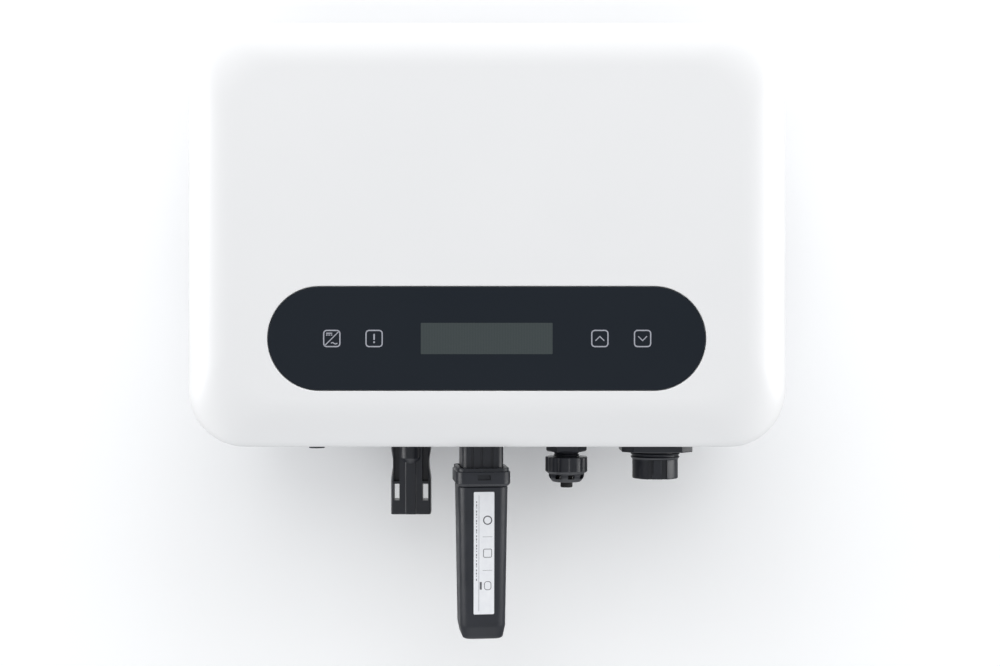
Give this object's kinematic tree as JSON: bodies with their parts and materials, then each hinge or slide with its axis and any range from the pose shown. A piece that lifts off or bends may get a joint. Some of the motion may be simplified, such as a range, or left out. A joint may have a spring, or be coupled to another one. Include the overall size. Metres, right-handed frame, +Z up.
{
  "type": "string inverter",
  "caption": "Small wall-hung solar string inverter with a rounded cover, a dark display window, plug-in sockets underneath and a plug-in radio dongle.",
  "frame": {"origin": "back of the wall bracket, in the middle of its plate, where it meets the wall", "axes": "+Z up, +Y into the wall, so the front faces -Y, and +X to the viewer's right"},
  "size_m": [0.29, 0.123, 0.304],
  "materials": {
    "white_paint": "smooth satin white paint",
    "cast_aluminium": "fine bead-blasted die casting",
    "galvanised_steel": "galvanised sheet",
    "bright_steel": "plated, slightly bright",
    "dark_window": "back-printed acrylic, glossy",
    "lcd_panel": "unlit liquid crystal display",
    "black_plastic": "moulded, fine texture",
    "black_rubber": "soft matt rubber",
    "label_film": "printed film",
    "circuit_board": "solder mask",
    "capacitor_sleeve": "shrunk sleeve",
    "copper_winding": "enamelled wire",
    "ferrite": "pressed ferrite",
    "blue_plastic": "moulded",
    "brass": "turned",
    "red_insulation": "extruded insulation",
    "clear_plastic": "moulded light guide",
    "thermal_silicone": "soft silicone"
  },
  "bodies": {
    "bracket": {"wall_bracket": "galvanised_steel"},
    "unit": {"ac_choke": "ferrite", "ac_insert": "black_plastic", "ac_lead": "black_rubber", "ac_socket": "black_plastic", "aux_transformer": "ferrite", "boost_inductor": "copper_winding", "control_board": "circuit_board", "cover_gasket": "black_rubber", "cover_screw_1": "bright_steel", "cover_screw_2": "bright_steel", "cover_screw_3": "bright_steel", "cover_screw_4": "bright_steel", "dc_contact_negative": "brass", "dc_contact_positive": "brass", "dc_lead_negative": "black_rubber", "dc_lead_positive": "red_insulation", "dc_link_capacitor_1": "capacitor_sleeve", "dc_link_capacitor_2": "capacitor_sleeve", "dc_locknut_negative": "black_plastic", "dc_locknut_positive": "black_plastic", "dc_socket_negative": "black_plastic", "dc_socket_positive": "black_plastic", "display_board": "circuit_board", "display_lead": "black_rubber", "display_window": "dark_window", "dongle_port": "black_plastic", "down_key_spring": "bright_steel", "earth_screw": "bright_steel", "fault_light_guide": "clear_plastic", "front_cover": "white_paint", "gland_body": "black_plastic", "gland_locknut": "black_plastic", "grid_relay": "blue_plastic", "hanging_rail": "galvanised_steel", "lcd_frame": "black_plastic", "lcd_glass": "lcd_panel", "lock_screw": "bright_steel", "main_board": "circuit_board", "output_inductor": "copper_winding", "port_receptacle": "bright_steel", "power_module": "black_plastic", "rail_screw_left": "bright_steel", "rail_screw_right": "bright_steel", "rear_housing": "cast_aluminium", "status_light_guide": "clear_plastic", "thermal_pad": "thermal_silicone", "up_key_spring": "bright_steel", "vent_valve": "black_plastic", "window_seal": "black_rubber"},
    "dongle": {"dongle_collar": "black_plastic", "dongle_case": "black_plastic", "dongle_label": "label_film", "dongle_seal": "black_rubber", "dongle_board": "circuit_board", "dongle_plug": "bright_steel"},
    "gland_insert": {"gland_seal": "black_rubber", "gland_pin": "black_rubber"},
    "gland_nut": {"gland_nut": "black_plastic"}
  },
  "joints": [
    {"name": "unit_lift", "type": "slide", "parent": "bracket", "child": "unit", "axis": [0, 0, 1], "range_m": [0, 0.016]},
    {"name": "dongle_pull", "type": "slide", "parent": "unit", "child": "dongle", "axis": [0, 0, -1], "range_m": [0, 0.03]},
    {"name": "gland_insert_slide", "type": "slide", "parent": "unit", "child": "gland_insert", "axis": [0, 0, -1], "range_m": [0, 0.0061]},
    {"name": "gland_nut_turn", "type": "hinge", "parent": "gland_insert", "child": "gland_nut", "pos_m": [0.0415, -0.04, -0.137], "axis": [0, 0, -1], "range_deg": [0, 1440]}
  ],
  "couplings": [
    {"joint": "gland_insert_slide", "follows": "gland_nut_turn", "m_per_rad": 0.00023873}
  ]
}
